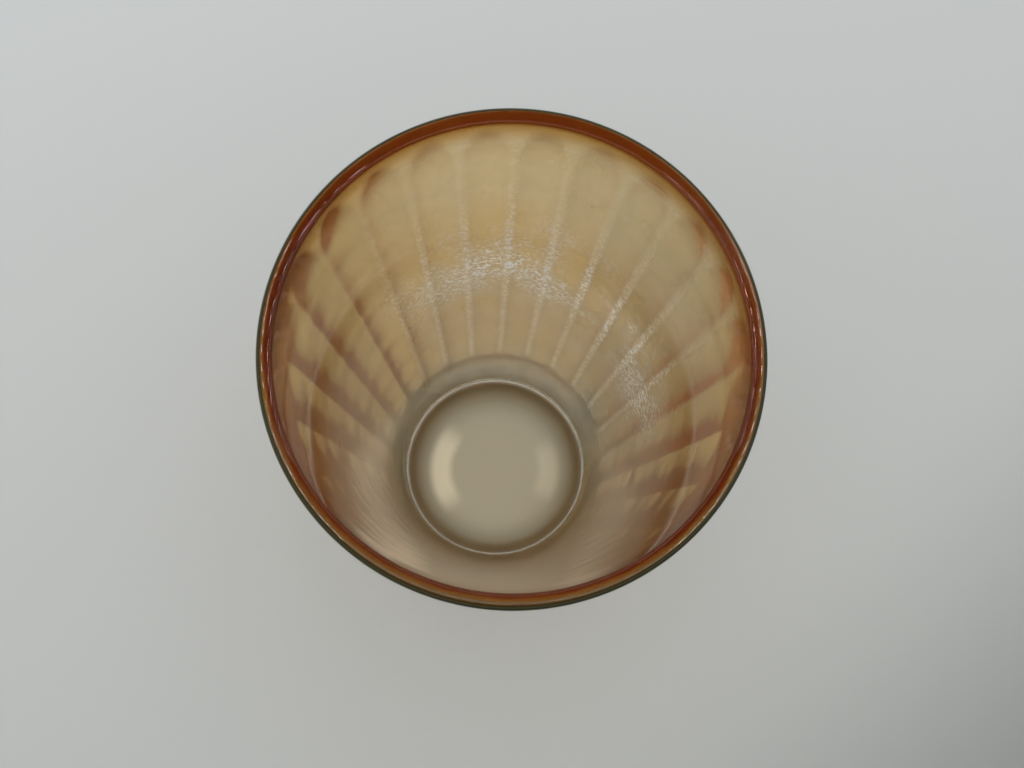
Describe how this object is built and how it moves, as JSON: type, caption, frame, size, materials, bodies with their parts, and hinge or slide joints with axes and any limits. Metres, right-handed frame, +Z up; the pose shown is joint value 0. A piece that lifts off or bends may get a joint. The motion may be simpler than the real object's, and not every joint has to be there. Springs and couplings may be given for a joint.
{
  "type": "glass tumbler",
  "caption": "Tall tapering drinking glass with a round lip, convex reeds with arched tops, plain heel, thick base and an amber lustre skin on the outside.",
  "frame": {"origin": "centre of the foot's resting circle, on the surface that the glass stands on", "axes": "+Z up along the glass's axis to the mouth; +X through the groove between two reeds; +Y completes the right-handed set"},
  "size_m": [0.0762, 0.0762, 0.148],
  "materials": {
    "clear_glass": "fire-polished, clear with a faint warm grey cast",
    "amber_lustre": "fired metallic lustre, amber in transmission and silvery green in reflection"
  },
  "bodies": {
    "root": {"glass_body": "clear_glass", "lustre_coat": "amber_lustre"}
  },
  "joints": []
}
